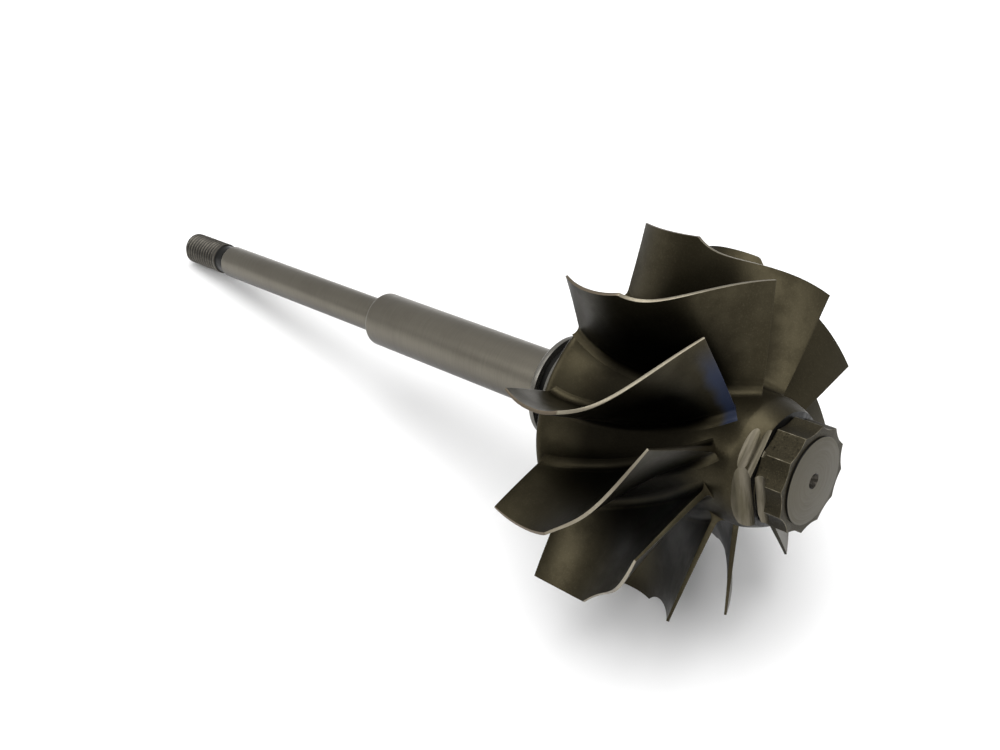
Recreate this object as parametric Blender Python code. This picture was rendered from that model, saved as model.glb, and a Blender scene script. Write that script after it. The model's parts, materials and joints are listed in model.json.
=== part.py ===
"""Turbocharger turbine wheel with its shaft.

The wheel lies as it would on a bench: on the rear tips of two neighbouring blades and on
the threaded end of the shaft. World +Z is up and +X is the nose side.

Every piece is modelled on the wheel's own axis. There +X points out of the nose, X = 0 is
the front of the nut's points, and an angle is measured from +Y towards +Z.
"""

import math

import bmesh
import bpy
from mathutils import Vector

MM = 0.001
CLEARANCE = 0.3 * MM

# Wheel, driving dimensions.
BLADE_COUNT = 10
EXDUCER_RADIUS = 52.0 * MM
EXDUCER_X = -20.1 * MM
INDUCER_FRONT_X = -46.5 * MM
INDUCER_FRONT_RADIUS = 58.15 * MM
INDUCER_REAR_X = -65.45 * MM
INDUCER_REAR_RADIUS = 57.95 * MM

# Tip line from the inducer's front corner to the exducer: a slight taper, after a drop
# that is over soon behind the corner.
SHROUD_TAPER = 1.5 * MM
SHROUD_DROP_POWER = 6.5

# Camber: the blade's angle as seen along the axis, nought at the exducer.
CAMBER_PEAK = math.radians(36.7)
CAMBER_PEAK_X = -55.0 * MM
CAMBER_POWER = 2.18
EXDUCER_LEAN = math.radians(-4.3)
INDUCER_LEAN = math.radians(1.5)
LEAN_POWER = 1.5

# True thickness, square to the blade; both edges are thinner over a short length.
TIP_THICKNESS = 1.3 * MM
ROOT_THICKNESS = 2.6 * MM
EDGE_THINNING = 0.3
EDGE_LENGTH = 9.0 * MM
ROOT_FILLET = 2.4 * MM

# Where the blade's mesh has its rows: shares of the inducer's length, of the shroud line's
# length, of the root fillet and of the blade's height.
INDUCER_STATIONS = (0.0, 0.35, 0.7)
SHROUD_STATIONS = (0.0, 0.04, 0.1, 0.2, 0.33, 0.5, 0.67, 0.84, 1.0)
FILLET_ROWS = (0.0, 0.35, 1.0)
SPAN_ROWS = (0.28, 0.52, 0.76, 1.0)
SLOPE_STEP = 0.05 * MM

# Hub: a round nose, a waist at the exducer and a flare out to the back disc's rim.
HUB_RADIUS = 19.35 * MM
HUB_FRONT_X = -17.0 * MM
RIM_RADIUS = 34.7 * MM
RIM_FRONT_X = -68.9 * MM
RIM_THICKNESS = 1.3 * MM
RIM_EDGE = 0.5 * MM
HUB_FLARE_POWER = 1.8
HUB_BACK_X = -73.0 * MM
HUB_BACK_RADIUS = 20.5 * MM
HUB_BACK_STEP = 0.9 * MM
HUB_BACK_STEP_WIDTH = 1.2 * MM
HUB_STATIONS = 16
HUB_SEGMENTS = 60

# Nose neck and twelve-point nut.
NECK_SHOULDER_X = -15.6 * MM
NECK_END_X = -9.0 * MM
NECK_END_RADIUS = 17.0 * MM
NECK_STATIONS = 5
NECK_ROUNDING_POWER = 1.4
NUT_LENGTH = 8.7 * MM
NUT_POINTS = 12
NUT_POINT_RADIUS = 15.9 * MM
NUT_VALLEY_RADIUS = 14.65 * MM
NUT_PHASE = math.radians(10.35)
NUT_DISC_RADIUS = 12.85 * MM
NUT_DISC_HEIGHT = 0.8 * MM
NUT_DISC_ROOT_X = -2.0 * MM
NUT_DISC_SEGMENTS = 48
CENTRE_HOLE_RADIUS = 2.25 * MM
CENTRE_HOLE_CONE = 2.3 * MM
CENTRE_HOLE_DEPTH = 6.0 * MM
CENTRE_HOLE_SPREAD = 0.58
CENTRE_HOLE_SEGMENTS = 24
CENTRE_DRILL_RADIUS = 0.95 * MM

# Balance cuts: channels ground across the neck and the nut, each at an angle round the
# axis, a place along it, with the grinding point's radius and the channel floor's distance
# from the axis.
LOWER_CUT_ANGLE = math.radians(185.0)
UPPER_CUT_ANGLE = math.radians(131.5)
BALANCE_CUTS = {
    "lower_neck_cut": (LOWER_CUT_ANGLE, -10.6 * MM, 2.6 * MM, 14.3 * MM),
    "lower_nut_cut": (LOWER_CUT_ANGLE, -6.9 * MM, 1.9 * MM, 12.8 * MM),
    "upper_neck_cut": (UPPER_CUT_ANGLE, -11.2 * MM, 2.2 * MM, 17.15 * MM),
    "upper_edge_cut": (UPPER_CUT_ANGLE, -8.5 * MM, 1.6 * MM, 15.4 * MM),
}
BALANCE_CUT_LENGTH = 30.0 * MM
BALANCE_CUT_HEIGHT = 6.0 * MM
BALANCE_CUT_SEGMENTS = 24

# Shaft, from the wheel to its threaded end.
WELD_BOSS_RADIUS = 18.2 * MM
WELD_BOSS_SHOULDER = 2.2 * MM
COLLAR_RADIUS = 17.0 * MM
RING_LAND_INNER_X = -78.0 * MM
RING_GROOVE_FRONT_X = -84.1 * MM
RING_GROOVE_REAR_X = -87.4 * MM
RING_GROOVE_RADIUS = 14.8 * MM
RING_GROOVE_EDGE = 0.3 * MM
COLLAR_REAR_X = -90.0 * MM
COLLAR_CHAMFER = 1.0 * MM
JOURNAL_RADIUS = 9.72 * MM
JOURNAL_RELIEF = 0.3 * MM
JOURNAL_RELIEF_WIDTH = 1.6 * MM
JOURNAL_END_X = -176.0 * MM
JOURNAL_ROUNDING = 1.6 * MM
JOURNAL_ROUNDING_STEPS = 3
SHANK_RADIUS = 6.3 * MM
SHANK_END_X = -270.8 * MM
SHANK_CHAMFER = 0.9 * MM
SHANK_CHAMFER_LENGTH = 1.3 * MM
THREAD_RELIEF_RADIUS = 5.6 * MM
THREAD_START_X = -275.3 * MM
THREAD_END_X = -298.0 * MM
THREAD_RADIUS = 6.2 * MM
THREAD_PITCH = 1.75 * MM
THREAD_DEPTH = 0.8 * MM
THREAD_CREST_SHARE = 0.1
THREAD_ROOT_SHARE = 0.55
THREAD_RUNOUT = 0.4 * MM
THREAD_POINT_RADIUS = 4.3 * MM
SHAFT_SEGMENTS = 48
THREAD_SEGMENTS = 28

# Derived values.
BLADE_PITCH = math.tau / BLADE_COUNT
RIM_REAR_X = RIM_FRONT_X - RIM_THICKNESS
SHROUD_DROP = INDUCER_FRONT_RADIUS - EXDUCER_RADIUS - SHROUD_TAPER
ROOT_REAR_X = RIM_FRONT_X + CLEARANCE

CAST_METAL = ((0.115, 0.105, 0.088, 1.0), 0.52, 0.85)
GROUND_STEEL = ((0.36, 0.34, 0.30, 1.0), 0.30, 1.0)
POLISHED_STEEL = ((0.42, 0.43, 0.44, 1.0), 0.15, 1.0)
THREAD_STEEL = ((0.16, 0.16, 0.14, 1.0), 0.45, 0.9)


def material(name, finish):
    """A metal with its colour, roughness and metallic value."""
    colour, roughness, metallic = finish
    metal = bpy.data.materials.new(name)
    metal.use_nodes = True
    shader = metal.node_tree.nodes["Principled BSDF"]
    shader.inputs["Base Color"].default_value = colour
    shader.inputs["Roughness"].default_value = roughness
    shader.inputs["Metallic"].default_value = metallic
    metal.diffuse_color = colour
    return metal


def finish_mesh(mesh_builder, name, sharp_angle=35.0):
    """Turns a bmesh into a mesh with outward faces, smooth but for its sharp edges."""
    bmesh.ops.remove_doubles(mesh_builder, verts=mesh_builder.verts, dist=1e-6)
    bmesh.ops.recalc_face_normals(mesh_builder, faces=mesh_builder.faces)
    mesh = bpy.data.meshes.new(name)
    mesh_builder.to_mesh(mesh)
    mesh_builder.free()
    mesh.shade_smooth()
    mesh.set_sharp_from_angle(angle=math.radians(sharp_angle))
    return mesh


def place(name, mesh, parent, metal):
    """Puts a mesh in the scene as a named piece on the wheel's axis."""
    piece = bpy.data.objects.new(name, mesh)
    bpy.context.scene.collection.objects.link(piece)
    piece.parent = parent
    if not mesh.materials:
        mesh.materials.append(metal)
    return piece


def turned_mesh(name, profile, segments):
    """A turned body: the profile's (x, radius) points spun once round the axis."""
    builder = bmesh.new()
    points = [(profile[0][0], 0.0), *profile, (profile[-1][0], 0.0)]
    verts = [builder.verts.new((x, radius, 0.0)) for x, radius in points]
    edges = [builder.edges.new(pair) for pair in zip(verts, verts[1:])]
    bmesh.ops.spin(
        builder,
        geom=verts + edges,
        cent=(0.0, 0.0, 0.0),
        axis=(1.0, 0.0, 0.0),
        angle=math.tau,
        steps=segments,
        use_merge=True,
    )
    return finish_mesh(builder, name)


def camber(x):
    """Angle of the blade's middle surface round the axis, at a place along the axis."""
    turn = 1.0 - (x - EXDUCER_X) / (CAMBER_PEAK_X - EXDUCER_X)
    return CAMBER_PEAK * (1.0 - abs(turn) ** CAMBER_POWER)


def camber_slope(x):
    """Change of the camber angle along the axis."""
    return (camber(x + SLOPE_STEP) - camber(x - SLOPE_STEP)) / (2.0 * SLOPE_STEP)


def hub_radius(x):
    """Radius of the hub's flow surface, from the exducer to the back disc's rim."""
    share = max(0.0, (EXDUCER_X - x) / (EXDUCER_X - RIM_FRONT_X))
    return HUB_RADIUS + (RIM_RADIUS - HUB_RADIUS) * share**HUB_FLARE_POWER


def shroud_radius(x):
    """Radius of the blade tips, from the inducer's rear corner to the exducer."""
    if x <= INDUCER_FRONT_X:
        share = (x - INDUCER_REAR_X) / (INDUCER_FRONT_X - INDUCER_REAR_X)
        return INDUCER_REAR_RADIUS + (INDUCER_FRONT_RADIUS - INDUCER_REAR_RADIUS) * share
    left = max(0.0, 1.0 - (x - INDUCER_FRONT_X) / (EXDUCER_X - INDUCER_FRONT_X))
    return EXDUCER_RADIUS + SHROUD_TAPER * left + SHROUD_DROP * left**SHROUD_DROP_POWER


def fibre_lean(x, share):
    """Turn of a point away from the radial line through its blade tip."""
    back = (EXDUCER_X - x) / (EXDUCER_X - INDUCER_REAR_X)
    root = EXDUCER_LEAN + (INDUCER_LEAN - EXDUCER_LEAN) * back
    return root * (1.0 - share) ** LEAN_POWER


def half_thickness(x, height, span):
    """Half the blade's thickness at a height over the hub, with the root's fillet."""
    share = min(1.0, height / span)
    half = 0.5 * (ROOT_THICKNESS + (TIP_THICKNESS - ROOT_THICKNESS) * share)
    to_edge = max(0.0, min(EXDUCER_X - x, x - INDUCER_REAR_X))
    half *= 1.0 - EDGE_THINNING * max(0.0, 1.0 - to_edge / EDGE_LENGTH) ** 2
    if height < ROOT_FILLET:
        half += ROOT_FILLET - math.sqrt(ROOT_FILLET**2 - (ROOT_FILLET - height) ** 2)
    return half


def blade_stations():
    """Tip and root places along the axis, from the rear edge to the exducer."""
    front = INDUCER_FRONT_X
    tips = [INDUCER_REAR_X + (front - INDUCER_REAR_X) * share for share in INDUCER_STATIONS]
    tips += [front + (EXDUCER_X - front) * share for share in SHROUD_STATIONS]
    length = EXDUCER_X - INDUCER_REAR_X
    roots = [ROOT_REAR_X + (EXDUCER_X - ROOT_REAR_X) * (x - INDUCER_REAR_X) / length for x in tips]
    return list(zip(tips, roots))


def blade_point(tip_x, root_x, share, side):
    """One point of the blade's skin; side is -1 and 1 on its faces, 0 on its middle."""
    root_radius = hub_radius(root_x) + CLEARANCE
    span = shroud_radius(tip_x) - root_radius
    x = root_x + (tip_x - root_x) * share
    radius = root_radius + span * share
    slope = radius * camber_slope(x)
    offset = side * half_thickness(x, CLEARANCE + span * share, span) / math.hypot(1.0, slope)
    shift = -offset * slope
    angle = camber(x) + fibre_lean(x, share) + offset / radius
    root_rise = hub_radius(root_x + shift) - hub_radius(root_x)
    tip_rise = shroud_radius(tip_x + shift) - shroud_radius(tip_x)
    radius += root_rise * (1.0 - share) + tip_rise * share
    return Vector((x + shift, radius * math.cos(angle), radius * math.sin(angle)))


def blade_mesh():
    """One blade, whose exducer tip stands at angle nought."""
    builder = bmesh.new()
    loops = []
    for tip_x, root_x in blade_stations():
        span = shroud_radius(tip_x) - hub_radius(root_x)
        rows = [row * ROOT_FILLET / span for row in FILLET_ROWS] + list(SPAN_ROWS)
        ring = [blade_point(tip_x, root_x, share, -1) for share in rows]
        ring += [blade_point(tip_x, root_x, share, 1) for share in reversed(rows)]
        ring.append(blade_point(tip_x, root_x, 0.0, 0))
        loops.append([builder.verts.new(point) for point in ring])
    count = len(loops[0])
    for near, far in zip(loops, loops[1:]):
        for i in range(count):
            j = (i + 1) % count
            builder.faces.new((near[i], near[j], far[j], far[i]))
    rows_per_side = (count - 1) // 2
    for end in (loops[0], loops[-1]):
        for i in range(rows_per_side - 1):
            j = count - 2 - i
            builder.faces.new((end[i], end[i + 1], end[j - 1], end[j]))
        builder.faces.new((end[0], end[count - 2], end[count - 1]))
    return finish_mesh(builder, "blade", 40.0)


def hub_profile():
    """Back disc and hub, from the back face to the front."""
    profile = [
        (HUB_BACK_X, HUB_BACK_RADIUS),
        (HUB_BACK_X + HUB_BACK_STEP, HUB_BACK_RADIUS + HUB_BACK_STEP_WIDTH),
        (RIM_REAR_X, RIM_RADIUS - RIM_EDGE),
        (RIM_REAR_X + RIM_EDGE, RIM_RADIUS),
    ]
    length = EXDUCER_X - RIM_FRONT_X
    for i in range(HUB_STATIONS + 1):
        x = RIM_FRONT_X + length * i / HUB_STATIONS
        profile.append((x, hub_radius(x)))
    profile.append((HUB_FRONT_X, HUB_RADIUS))
    return profile


def neck_profile():
    """Nose neck: a cylinder and a rounded shoulder up to the nut."""
    profile = [(HUB_FRONT_X + CLEARANCE, HUB_RADIUS)]
    for i in range(NECK_STATIONS + 1):
        share = i / NECK_STATIONS
        x = NECK_SHOULDER_X + (NECK_END_X - NECK_SHOULDER_X) * share
        radius = HUB_RADIUS - (HUB_RADIUS - NECK_END_RADIUS) * share**NECK_ROUNDING_POWER
        profile.append((x, radius))
    return profile


def nut_mesh():
    """Twelve-point nut: a star-shaped outline drawn out along the axis."""
    builder = bmesh.new()
    outline = []
    for i in range(2 * NUT_POINTS):
        radius = NUT_POINT_RADIUS if i % 2 == 0 else NUT_VALLEY_RADIUS
        angle = NUT_PHASE + i * math.pi / NUT_POINTS
        outline.append((0.0, radius * math.cos(angle), radius * math.sin(angle)))
    front = builder.faces.new([builder.verts.new(point) for point in outline])
    back = bmesh.ops.extrude_face_region(builder, geom=[front])["geom"]
    moved = [item for item in back if isinstance(item, bmesh.types.BMVert)]
    bmesh.ops.translate(builder, verts=moved, vec=(-NUT_LENGTH, 0.0, 0.0))
    return finish_mesh(builder, "nose_nut", 8.0)


def thread_profile():
    """Threaded end: V-shaped ridges and a pointed end with a flat face."""
    profile = [(THREAD_END_X, THREAD_POINT_RADIUS)]
    ridge_count = int((THREAD_START_X - THREAD_END_X) / THREAD_PITCH) - 1
    first = THREAD_END_X + (THREAD_RADIUS - THREAD_POINT_RADIUS)
    profile.append((first, THREAD_RADIUS))
    for i in range(ridge_count):
        x = first + i * THREAD_PITCH
        profile.append((x + THREAD_CREST_SHARE * THREAD_PITCH, THREAD_RADIUS))
        profile.append((x + THREAD_ROOT_SHARE * THREAD_PITCH, THREAD_RADIUS - THREAD_DEPTH))
        profile.append((x + THREAD_PITCH, THREAD_RADIUS))
    profile.append((THREAD_START_X - THREAD_RUNOUT, THREAD_RADIUS))
    profile.append((THREAD_START_X, THREAD_RELIEF_RADIUS))
    return profile


def shaft_profiles():
    """The shaft's turned pieces by name, each from its rear end to its front."""
    collar_edge = COLLAR_RADIUS - RING_GROOVE_EDGE
    journal_front = COLLAR_REAR_X - CLEARANCE
    journal_arc = []
    for i in range(JOURNAL_ROUNDING_STEPS + 1):
        turn = 0.5 * math.pi * i / JOURNAL_ROUNDING_STEPS
        x = JOURNAL_END_X + JOURNAL_ROUNDING * (1.0 - math.cos(turn))
        journal_arc.append((x, JOURNAL_RADIUS - JOURNAL_ROUNDING * (1.0 - math.sin(turn))))
    return {
        "weld_boss": [
            (RING_LAND_INNER_X + CLEARANCE, COLLAR_RADIUS),
            (HUB_BACK_X - WELD_BOSS_SHOULDER, WELD_BOSS_RADIUS),
            (HUB_BACK_X - CLEARANCE, HUB_BACK_RADIUS),
        ],
        "ring_land_inner": [
            (RING_GROOVE_FRONT_X, collar_edge),
            (RING_GROOVE_FRONT_X + RING_GROOVE_EDGE, COLLAR_RADIUS),
            (RING_LAND_INNER_X, COLLAR_RADIUS),
        ],
        "ring_groove": [
            (RING_GROOVE_REAR_X + CLEARANCE, RING_GROOVE_RADIUS),
            (RING_GROOVE_FRONT_X - CLEARANCE, RING_GROOVE_RADIUS),
        ],
        "ring_land_outer": [
            (COLLAR_REAR_X, COLLAR_RADIUS - COLLAR_CHAMFER),
            (COLLAR_REAR_X + COLLAR_CHAMFER, COLLAR_RADIUS),
            (RING_GROOVE_REAR_X - RING_GROOVE_EDGE, COLLAR_RADIUS),
            (RING_GROOVE_REAR_X, collar_edge),
        ],
        "bearing_journal": [
            *journal_arc,
            (journal_front - JOURNAL_RELIEF_WIDTH - JOURNAL_RELIEF, JOURNAL_RADIUS),
            (journal_front - JOURNAL_RELIEF_WIDTH, JOURNAL_RADIUS - JOURNAL_RELIEF),
            (journal_front, JOURNAL_RADIUS - JOURNAL_RELIEF),
        ],
        "compressor_shank": [
            (SHANK_END_X, SHANK_RADIUS - SHANK_CHAMFER),
            (SHANK_END_X + SHANK_CHAMFER_LENGTH, SHANK_RADIUS),
            (JOURNAL_END_X - CLEARANCE, SHANK_RADIUS),
        ],
        "thread_relief": [
            (THREAD_START_X + CLEARANCE, THREAD_RELIEF_RADIUS),
            (SHANK_END_X - CLEARANCE, THREAD_RELIEF_RADIUS),
        ],
        "shaft_thread": thread_profile(),
    }


def cutter(name, mesh, parent):
    """A tool body that only cuts or joins: shown as wire and left out of the model."""
    body = bpy.data.objects.new(name, mesh)
    bpy.context.scene.collection.objects.link(body)
    body.parent = parent
    body.hide_render = True
    body.display_type = "WIRE"
    return body


def combine(piece, tool, operation):
    """Adds an exact Boolean of a tool body to a piece."""
    modifier = piece.modifiers.new(tool.name, "BOOLEAN")
    modifier.operation = operation
    modifier.solver = "EXACT"
    modifier.object = tool


def balance_cutter(name, parent):
    """The room that a round grinding point sweeps as it comes in across the nose."""
    angle, x, radius, floor = BALANCE_CUTS[name]
    builder = bmesh.new()
    bmesh.ops.create_cone(
        builder,
        cap_ends=True,
        segments=BALANCE_CUT_SEGMENTS,
        radius1=radius,
        radius2=radius,
        depth=BALANCE_CUT_LENGTH,
    )
    for vert in builder.verts:
        if vert.co.y > 0.5 * CLEARANCE:
            vert.co.y += BALANCE_CUT_HEIGHT
    body = cutter(name, finish_mesh(builder, name), parent)
    reach = floor + radius
    body.location = (x, reach * math.cos(angle), reach * math.sin(angle))
    body.rotation_euler = (angle, 0.0, 0.0)
    return body


def build_nose(parent, cast):
    """Neck and nut, with the turned end disc, the centre hole and the balance cuts."""
    neck = place("nose_neck", turned_mesh("nose_neck", neck_profile(), HUB_SEGMENTS), parent, cast)
    nut = place("nose_nut", nut_mesh(), parent, cast)
    disc_profile = [(NUT_DISC_ROOT_X, NUT_DISC_RADIUS), (NUT_DISC_HEIGHT, NUT_DISC_RADIUS)]
    disc_body = turned_mesh("nut_end_disc", disc_profile, NUT_DISC_SEGMENTS)
    disc = cutter("nut_end_disc", disc_body, parent)
    outer = CENTRE_HOLE_RADIUS + CENTRE_HOLE_CONE * CENTRE_HOLE_SPREAD
    hole_profile = [
        (NUT_DISC_HEIGHT - CENTRE_HOLE_DEPTH, CENTRE_DRILL_RADIUS),
        (NUT_DISC_HEIGHT - CENTRE_HOLE_CONE, CENTRE_DRILL_RADIUS),
        (NUT_DISC_HEIGHT, CENTRE_HOLE_RADIUS),
        (NUT_DISC_HEIGHT + CENTRE_HOLE_CONE, outer),
    ]
    hole_body = turned_mesh("centre_hole", hole_profile, CENTRE_HOLE_SEGMENTS)
    hole = cutter("centre_hole", hole_body, parent)
    combine(nut, disc, "UNION")
    combine(nut, hole, "DIFFERENCE")
    cuts = {name: balance_cutter(name, parent) for name in BALANCE_CUTS}
    for name in ("lower_neck_cut", "upper_neck_cut", "upper_edge_cut"):
        combine(neck, cuts[name], "DIFFERENCE")
    for name in ("lower_nut_cut", "upper_edge_cut"):
        combine(nut, cuts[name], "DIFFERENCE")


def build_wheel(parent, cast):
    """Hub with its back disc, and the blades round it."""
    place("wheel_hub", turned_mesh("wheel_hub", hub_profile(), HUB_SEGMENTS), parent, cast)
    shape = blade_mesh()
    lowest_gap = 0.5 * (BLADE_COUNT + 1)
    first = -0.5 * math.pi - lowest_gap * BLADE_PITCH - camber(INDUCER_REAR_X)
    for i in range(BLADE_COUNT):
        blade = place(f"blade_{i + 1:02d}", shape, parent, cast)
        blade.rotation_euler = (first + i * BLADE_PITCH, 0.0, 0.0)


def build_shaft(parent):
    """Shaft from the weld to the threaded end."""
    metals = {
        "bearing_journal": material("journal_steel", GROUND_STEEL),
        "compressor_shank": material("shank_steel", GROUND_STEEL),
        "shaft_thread": material("thread_steel", THREAD_STEEL),
        "thread_relief": material("relief_steel", THREAD_STEEL),
    }
    collar = material("collar_steel", POLISHED_STEEL)
    for name, profile in shaft_profiles().items():
        segments = THREAD_SEGMENTS if name == "shaft_thread" else SHAFT_SEGMENTS
        mesh = turned_mesh(name, profile, segments)
        place(name, mesh, parent, metals.get(name, collar))


def lay_on_bench(axis):
    """Tilts the axis on to its three rests and centres the wheel over the origin."""
    tip_depth = INDUCER_REAR_RADIUS * math.cos(0.5 * BLADE_PITCH)
    thread_rest_x = THREAD_END_X + THREAD_RADIUS - THREAD_POINT_RADIUS
    tilt = math.atan2(tip_depth - THREAD_RADIUS, INDUCER_REAR_X - thread_rest_x)
    axis.rotation_euler = (0.0, -tilt, 0.0)
    bpy.context.view_layer.update()
    graph = bpy.context.evaluated_depsgraph_get()
    points = []
    for piece in axis.children:
        if not piece.hide_render:
            shown = piece.evaluated_get(graph)
            points += [piece.matrix_world @ vert.co for vert in shown.data.vertices]
    low = [min(point[i] for point in points) for i in range(3)]
    high = [max(point[i] for point in points) for i in range(3)]
    axis.location = (-0.5 * (low[0] + high[0]), -0.5 * (low[1] + high[1]), -low[2])


def main():
    for old in list(bpy.data.objects):
        bpy.data.objects.remove(old)
    axis = bpy.data.objects.new("wheel_axis", None)
    bpy.context.scene.collection.objects.link(axis)
    cast = material("cast_alloy", CAST_METAL)
    build_wheel(axis, cast)
    build_nose(axis, cast)
    build_shaft(axis)
    lay_on_bench(axis)
    bpy.context.view_layer.update()


main()
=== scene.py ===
"""Visual model of the turbocharger turbine wheel and its shaft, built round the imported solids.

Every piece is modelled on the wheel's own axis, where +X points out of the nose, X = 0 is the
front of the nut's points and an angle is measured from +Y towards +Z. The finished mesh is
then laid on the bench, so that each object stays at the origin with its place in its mesh.
"""

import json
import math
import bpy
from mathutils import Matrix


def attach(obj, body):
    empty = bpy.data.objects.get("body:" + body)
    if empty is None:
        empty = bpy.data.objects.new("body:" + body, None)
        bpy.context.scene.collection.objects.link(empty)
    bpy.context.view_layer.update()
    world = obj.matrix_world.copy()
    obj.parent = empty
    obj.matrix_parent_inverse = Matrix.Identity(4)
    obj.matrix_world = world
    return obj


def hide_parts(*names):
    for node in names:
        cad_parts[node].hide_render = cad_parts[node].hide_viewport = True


bl_info = {
    "name": "Turbine wheel and shaft",
    "version": (1, 0, 0),
    "blender": (4, 5, 0),
    "location": "View3D > Sidebar > Turbine wheel",
    "description": "Models a cast turbine wheel with its steel shaft, its finishes and its studio",
    "category": "Add Mesh",
}

import bmesh
import bpy
from bpy.props import FloatProperty, FloatVectorProperty, IntProperty, PointerProperty
from mathutils import Euler, Matrix, Vector

MM = 0.001

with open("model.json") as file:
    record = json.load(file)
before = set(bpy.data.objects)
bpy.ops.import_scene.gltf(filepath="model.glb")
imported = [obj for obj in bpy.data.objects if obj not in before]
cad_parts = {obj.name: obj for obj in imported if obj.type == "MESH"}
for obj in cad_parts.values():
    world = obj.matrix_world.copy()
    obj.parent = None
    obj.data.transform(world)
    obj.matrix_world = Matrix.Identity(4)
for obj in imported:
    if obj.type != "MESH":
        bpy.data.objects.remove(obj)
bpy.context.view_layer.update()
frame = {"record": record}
MOUNTS = {mount["name"]: mount for mount in frame["record"]["mounts"]}

# Where the nose face that the record states stands on the wheel's axis: the nose disc's point, above
# the axis.
NOSE_POINT = Vector((0.8 * MM, 0.0, 8.0 * MM))


def wheel_frame():
    """Matrix from the wheel's axis to the bench, from the nose face that the record states."""
    nose = Vector(MOUNTS["nose_face"]["axis"]).normalized()
    across = Vector((0.0, 1.0, 0.0))
    turn = Matrix((nose, across, nose.cross(across))).transposed()
    place = Vector(MOUNTS["nose_face"]["pos_m"]) - turn @ NOSE_POINT
    return Matrix.Translation(place) @ turn.to_4x4()


WHEEL = wheel_frame()


# Sizes and colours that a user would change.


def length(name, description, millimetres):
    return FloatProperty(
        name=name, description=description, default=millimetres * MM, unit="LENGTH", precision=5
    )


def angle(name, description, degrees):
    return FloatProperty(
        name=name, description=description, default=math.radians(degrees), subtype="ANGLE"
    )


def plain(name, description, value, low=0.0, high=100.0):
    return FloatProperty(name=name, description=description, default=value, min=low, max=high)


def colour(name, description, red, green, blue):
    return FloatVectorProperty(
        name=name,
        description=description,
        default=(red, green, blue, 1.0),
        size=4,
        min=0.0,
        max=1.0,
        subtype="COLOR",
    )


class BladeSizes(bpy.types.PropertyGroup):
    count: IntProperty(name="Blades", description="Blades round the hub", default=10, min=2)
    exducer_radius: length("Exducer radius", "Tip radius at the nose side", 52.0)
    exducer_x: length("Exducer place", "Nose-side edge along the axis", -20.1)
    front_x: length("Inducer front", "Front corner of the inducer along the axis", -46.5)
    front_radius: length("Inducer front radius", "Tip radius at that corner", 58.06)
    rear_x: length("Inducer rear", "Rear corner of the inducer along the axis", -65.45)
    rear_radius: length("Inducer rear radius", "Tip radius at that corner", 57.93)
    taper: length("Shroud taper", "Fall of the tip line towards the exducer", 1.5)
    drop_power: plain("Shroud drop", "How soon the drop behind the corner ends", 6.5)
    camber: angle("Camber", "Largest turn of the blade round the axis", 36.7)
    camber_x: length("Camber place", "Where along the axis the camber is largest", -55.0)
    camber_power: plain("Camber power", "How fast the camber falls away", 2.18)
    front_lean: angle("Exducer lean", "Lean of the root at the nose side", -4.3)
    rear_lean: angle("Inducer lean", "Lean of the root at the disc", 1.5)
    lean_power: plain("Lean power", "How the lean fades towards the tip", 1.5)
    tip_thickness: length("Tip thickness", "Blade thickness at its tip", 1.0)
    root_thickness: length("Root thickness", "Blade thickness over its fillet", 2.6)
    thinning: plain("Edge thinning", "How much thinner both edges are", 0.3)
    thinning_length: length("Thinning length", "Length over which an edge thins", 9.0)
    fillet: length("Root fillet", "Radius between blade and hub", 2.4)
    edge_break: length("Edge break", "Rounding of the blade's long edges", 0.12)


class HubSizes(bpy.types.PropertyGroup):
    waist_radius: length("Waist radius", "Hub radius at the exducer", 19.35)
    rim_radius: length("Rim radius", "Radius of the back disc", 34.7)
    rim_x: length("Rim place", "Front of the back disc's rim", -68.9)
    rim_thickness: length("Rim thickness", "Thickness of the disc at its rim", 1.3)
    flare_power: plain("Flare power", "How late the hub flares out", 1.8)
    back_x: length("Back place", "Back of the hub at the weld", -73.0)
    back_radius: length("Back radius", "Hub radius at the weld", 20.5)
    shoulder_x: length("Neck shoulder", "Where the neck starts to round", -15.6)
    neck_x: length("Neck end", "Front of the neck", -9.0)
    neck_radius: length("Neck radius", "Neck radius at its front", 17.0)
    neck_power: plain("Neck rounding", "Power of the neck's rounding", 1.4)
    spigot_radius: length("Spigot radius", "Spigot behind the nut", 14.2)
    spigot_x: length("Spigot end", "Front of the spigot", -8.72)
    lower_cut: angle("Lower balance cuts", "Angle of the lower pair of cuts", 185.0)
    upper_cut: angle("Upper balance cuts", "Angle of the upper pair of cuts", 131.5)


class NutSizes(bpy.types.PropertyGroup):
    points: IntProperty(name="Points", description="Points of the nut", default=12, min=3)
    point_radius: length("Point radius", "Nut radius at its points", 15.9)
    valley_radius: length("Valley radius", "Nut radius between its points", 14.65)
    length: length("Nut length", "Nut length along the axis", 8.7)
    phase: angle("Nut phase", "Angle of the first point", 10.35)
    disc_radius: length("Disc radius", "Turned end disc", 12.85)
    disc_height: length("Disc height", "How far the disc stands out", 0.55)
    hole_radius: length("Hole radius", "Centre hole at its mouth", 2.25)
    hole_cone: length("Hole cone", "Depth of the hole's cone", 2.3)
    hole_depth: length("Hole depth", "Depth of the centre hole", 6.0)
    drill_radius: length("Drill radius", "Centre hole behind its cone", 0.95)


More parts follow.
